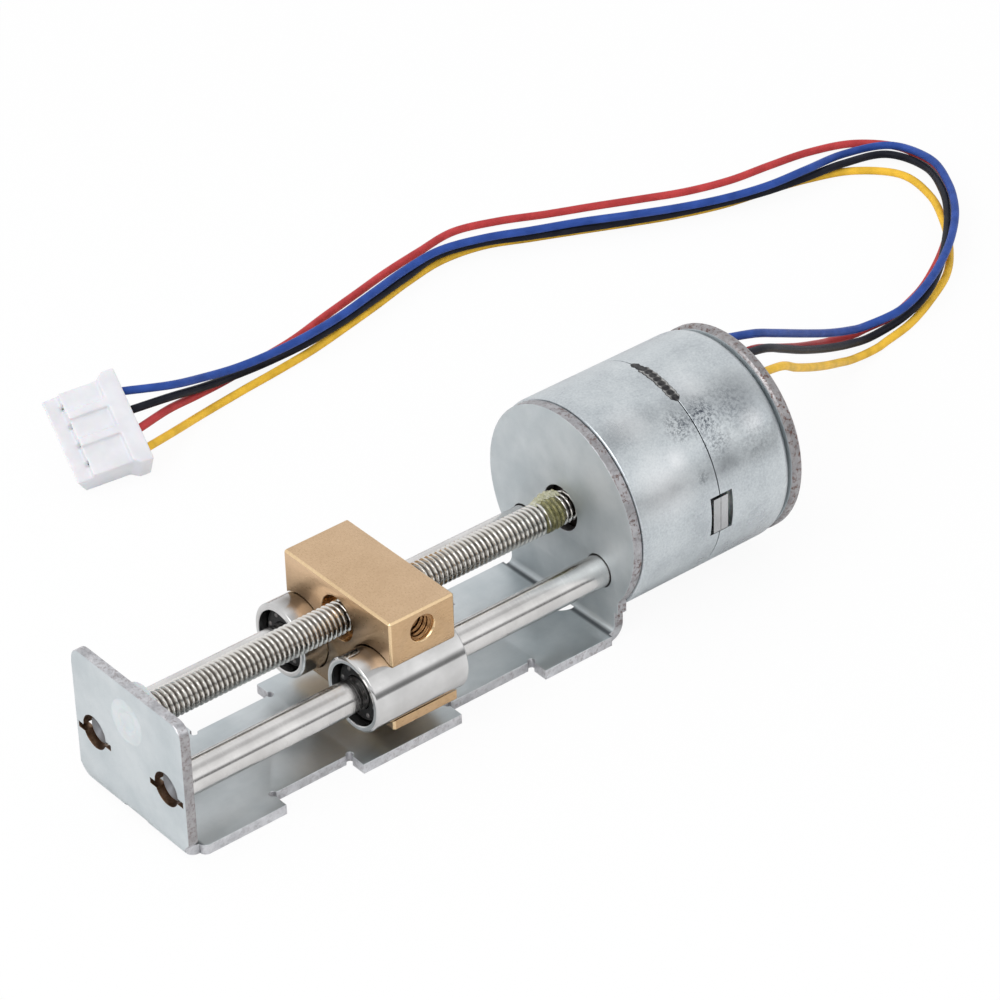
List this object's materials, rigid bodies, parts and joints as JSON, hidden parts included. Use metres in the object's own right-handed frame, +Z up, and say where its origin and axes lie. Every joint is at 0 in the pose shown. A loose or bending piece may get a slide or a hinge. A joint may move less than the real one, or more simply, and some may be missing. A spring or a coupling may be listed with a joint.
{
  "type": "stepper motor linear slide",
  "caption": "Small linear slide: a brass carriage on two guide rods, moved by the lead screw of a round stepper motor at one end of a folded steel bracket, with a loose lead set and plug.",
  "frame": {"origin": "on the bracket's underside, half way between its two uprights, in the lead screw's plane", "axes": "+X along the lead screw, from the front upright to the motor; +Y to the far side, where the leads lie; +Z up from the base to the screw"},
  "size_m": [0.1243, 0.0659, 0.0205],
  "materials": {
    "zinc_sheet": "zinc plated, satin",
    "bright_steel": "ground and polished",
    "screw_steel": "rolled thread, satin",
    "brass": "fine brushed",
    "white_resin": "moulded, satin",
    "black_resin": "moulded, matt",
    "copper_wire": "enamelled",
    "ferrite": "sintered, matt",
    "sintered_bronze": "sintered, matt",
    "lead_blue": "soft insulation, satin",
    "lead_black": "soft insulation, satin",
    "lead_red": "soft insulation, satin",
    "lead_yellow": "soft insulation, satin"
  },
  "bodies": {
    "frame": {"bracket": "zinc_sheet", "guide_rod_left": "bright_steel", "guide_rod_right": "bright_steel", "front_bush": "white_resin", "motor_front_cup": "zinc_sheet", "motor_rear_cup": "zinc_sheet", "rear_cover": "zinc_sheet", "lead_exit_block": "white_resin", "yoke_front": "zinc_sheet", "yoke_rear": "zinc_sheet", "bobbin_front": "white_resin", "bobbin_rear": "white_resin", "winding_front": "copper_wire", "winding_rear": "copper_wire", "front_motor_bush": "sintered_bronze", "rear_motor_bush": "sintered_bronze", "front_thrust_washer": "bright_steel", "rear_thrust_washer": "bright_steel", "lead_blue": "lead_blue", "lead_black": "lead_black", "lead_red": "lead_red", "lead_yellow": "lead_yellow", "connector_housing": "white_resin", "crimp_contact_1": "bright_steel", "crimp_contact_2": "bright_steel", "crimp_contact_3": "bright_steel", "crimp_contact_4": "bright_steel"},
    "carriage": {"slider_block": "brass", "bearing_sleeve_left": "bright_steel", "bearing_sleeve_right": "bright_steel", "ball_cage_left": "black_resin", "ball_cage_right": "black_resin"},
    "rotor": {"lead_screw": "screw_steel", "rotor_hub": "black_resin", "rotor_magnet": "ferrite"}
  },
  "joints": [
    {"name": "screw_spin", "type": "hinge", "parent": "frame", "child": "rotor", "pos_m": [0, 0, 0.0105], "axis": [1, 0, 0], "range_deg": [-10080, 12960]},
    {"name": "carriage_slide", "type": "slide", "parent": "frame", "child": "carriage", "axis": [1, 0, 0], "range_m": [-0.0181, 0.0141]}
  ],
  "couplings": [
    {"joint": "carriage_slide", "follows": "screw_spin", "m_per_rad": -0.000079577}
  ]
}
